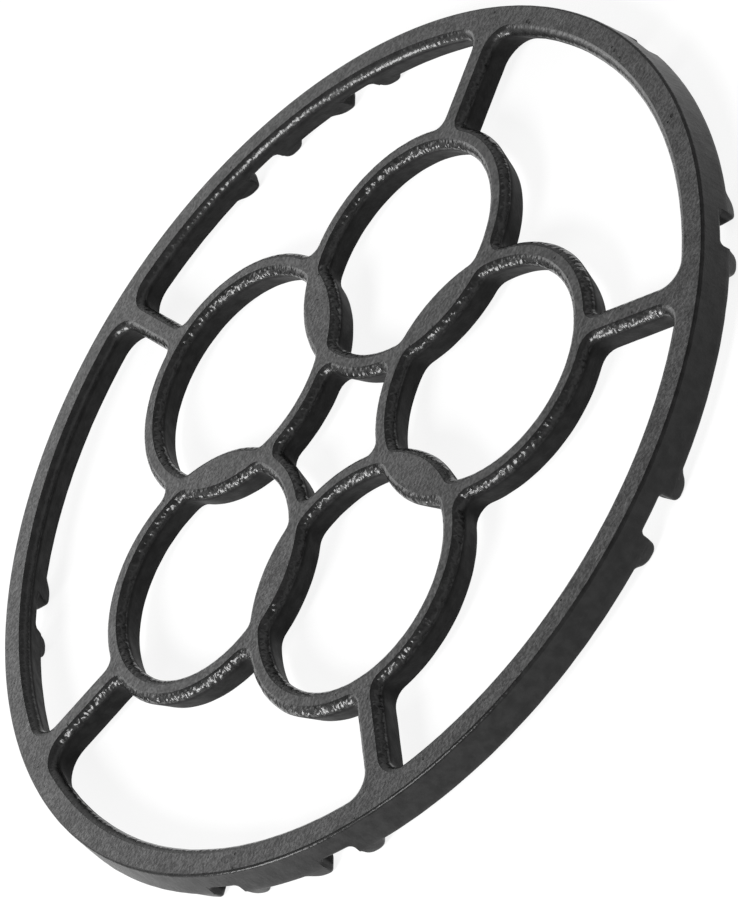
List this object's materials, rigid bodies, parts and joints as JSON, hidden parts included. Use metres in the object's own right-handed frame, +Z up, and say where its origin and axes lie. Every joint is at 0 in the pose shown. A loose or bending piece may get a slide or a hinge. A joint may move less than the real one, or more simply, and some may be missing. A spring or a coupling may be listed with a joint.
{
  "type": "wok ring",
  "caption": "Flat cast-iron ring for a gas hob: a round rim holds a lattice of overlapping small rings on short spokes, with notches under the rim for the pan support's fingers.",
  "frame": {"origin": "bottom centre, on the plane of the nubs' tips", "axes": "+Z up through the open lattice, +Y along one spoke"},
  "size_m": [0.145, 0.145, 0.0071],
  "materials": {
    "black_enamel": "semi-gloss black enamel over fine sand-cast texture"
  },
  "bodies": {
    "root": {"wok_ring": "black_enamel"}
  },
  "joints": []
}
